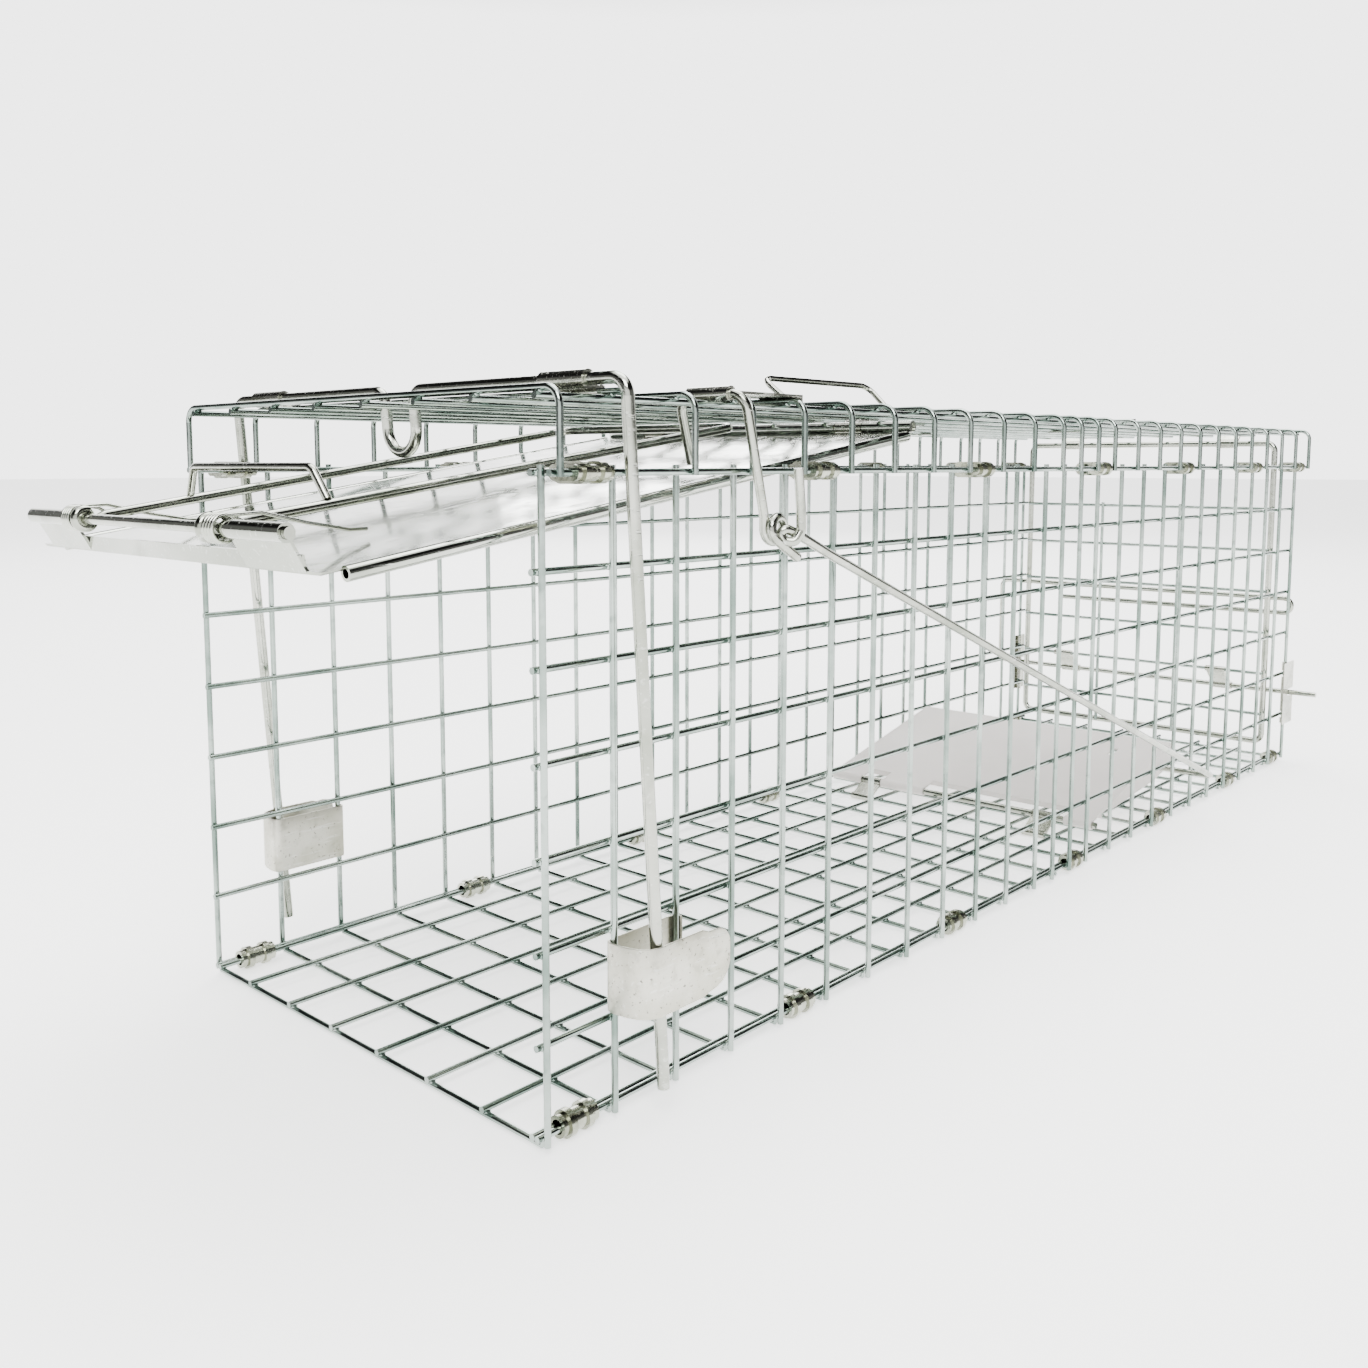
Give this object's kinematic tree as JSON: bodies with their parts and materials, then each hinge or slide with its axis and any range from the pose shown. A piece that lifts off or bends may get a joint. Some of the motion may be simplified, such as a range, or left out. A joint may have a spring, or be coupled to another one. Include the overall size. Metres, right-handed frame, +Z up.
{
  "type": "live catch trap",
  "caption": "Live catch animal trap: long wire mesh cage with a tilted drop door, wall brace, side trigger and trip rod to a treadle pan, top-hinged rear door and carrying handle.",
  "frame": {"origin": "middle of the cage in plan, on the ground the floor clips stand on", "axes": "+X from the drop door to the rear door, +Y away from the trigger side, +Z up"},
  "size_m": [0.6856, 0.2149, 0.2218],
  "materials": {
    "wire": "bright zinc plating on drawn wire, faintly green and blue",
    "rod": "bright zinc plating on thicker drawn wire, light scuffs at the bends",
    "clip": "zinc plated strip, crimped and a little dull",
    "door_sheet": "mirror-like zinc plated sheet with fine scratches",
    "strap": "zinc plated strip, satin with worn edges",
    "sleeve": "zinc plated sheet, pitted and faintly yellow",
    "pan": "matte galvanised sheet with a warm grey bloom",
    "spring": "zinc plated spring wire, slightly darker"
  },
  "bodies": {
    "cage": {"floor_mesh": "wire", "side_mesh_near": "wire", "side_mesh_far": "wire", "roof_mesh": "wire", "cover_flange_near": "wire", "cover_flange_far": "wire", "floor_clips_near": "clip", "floor_clips_far": "clip", "roof_clips_near": "clip", "roof_clips_far": "clip", "door_hinge_wire": "rod", "door_hinge_straps": "strap", "brace_clamps": "strap", "brace_sleeve_near": "sleeve", "brace_sleeve_far": "sleeve", "trigger_saddle": "strap", "pan_pivot_wire": "rod", "pan_brackets": "strap", "rear_hinge_straps": "strap", "rear_keeper_near": "strap", "rear_keeper_far": "strap", "hand_guard": "door_sheet"},
    "door": {"door_plate": "door_sheet", "door_pivot_rod": "rod", "lock_spring_near": "spring", "lock_spring_far": "spring"},
    "lock_bar": {"lock_bar": "rod", "lock_bar_bail": "rod"},
    "brace": {"brace": "rod"},
    "trigger_lever": {"trigger_lever": "rod"},
    "pan": {"pan_plate": "pan"},
    "trip_rod": {"trip_rod": "rod"},
    "rear_door": {"rear_frame": "rod", "rear_mesh": "wire", "rear_rod_clips": "strap"},
    "rear_lock_rod": {"rear_lock_rod": "rod"},
    "handle": {"handle": "rod"}
  },
  "joints": [
    {"name": "door_swing", "type": "hinge", "parent": "cage", "child": "door", "pos_m": [-0.1128, 0, 0.19747], "axis": [0, -1, 0], "range_deg": [0, 38]},
    {"name": "lock_bar_swing", "type": "hinge", "parent": "door", "child": "lock_bar", "pos_m": [-0.36679, 0, 0.16846], "axis": [0, -1, 0], "range_deg": [0, 13.3]},
    {"name": "brace_swing", "type": "hinge", "parent": "cage", "child": "brace", "pos_m": [-0.2843, 0, 0.2065], "axis": [0, -1, 0], "range_deg": [0, 8]},
    {"name": "pan_tilt", "type": "hinge", "parent": "cage", "child": "pan", "pos_m": [0.0612, 0, 0.00875], "axis": [0, 1, 0], "range_deg": [0, 8]},
    {"name": "trip_rod_swing", "type": "hinge", "parent": "pan", "child": "trip_rod", "pos_m": [0.14428, 0, 0.02229], "axis": [0, 1, 0], "range_deg": [-5.71, 0]},
    {"name": "trigger_swing", "type": "hinge", "parent": "cage", "child": "trigger_lever", "pos_m": [-0.2358, 0, 0.20415], "axis": [0, 1, 0], "range_deg": [-10.71, 0]},
    {"name": "rear_door_swing", "type": "hinge", "parent": "cage", "child": "rear_door", "pos_m": [0.2972, 0, 0.19605], "axis": [0, -1, 0], "range_deg": [0, 80]},
    {"name": "rear_lock_slide", "type": "slide", "parent": "rear_door", "child": "rear_lock_rod", "axis": [0, 1, 0], "range_m": [0, 0.025]},
    {"name": "handle_swing", "type": "hinge", "parent": "cage", "child": "handle", "pos_m": [-0.0508, -0.0127, 0.20125], "axis": [1, 0, 0], "range_deg": [0, 100]}
  ],
  "couplings": [
    {"joint": "lock_bar_swing", "follows": "door_swing", "ratio": 0.35},
    {"joint": "trip_rod_swing", "follows": "pan_tilt", "ratio": -0.71271},
    {"joint": "trigger_swing", "follows": "pan_tilt", "ratio": -1.3383}
  ]
}
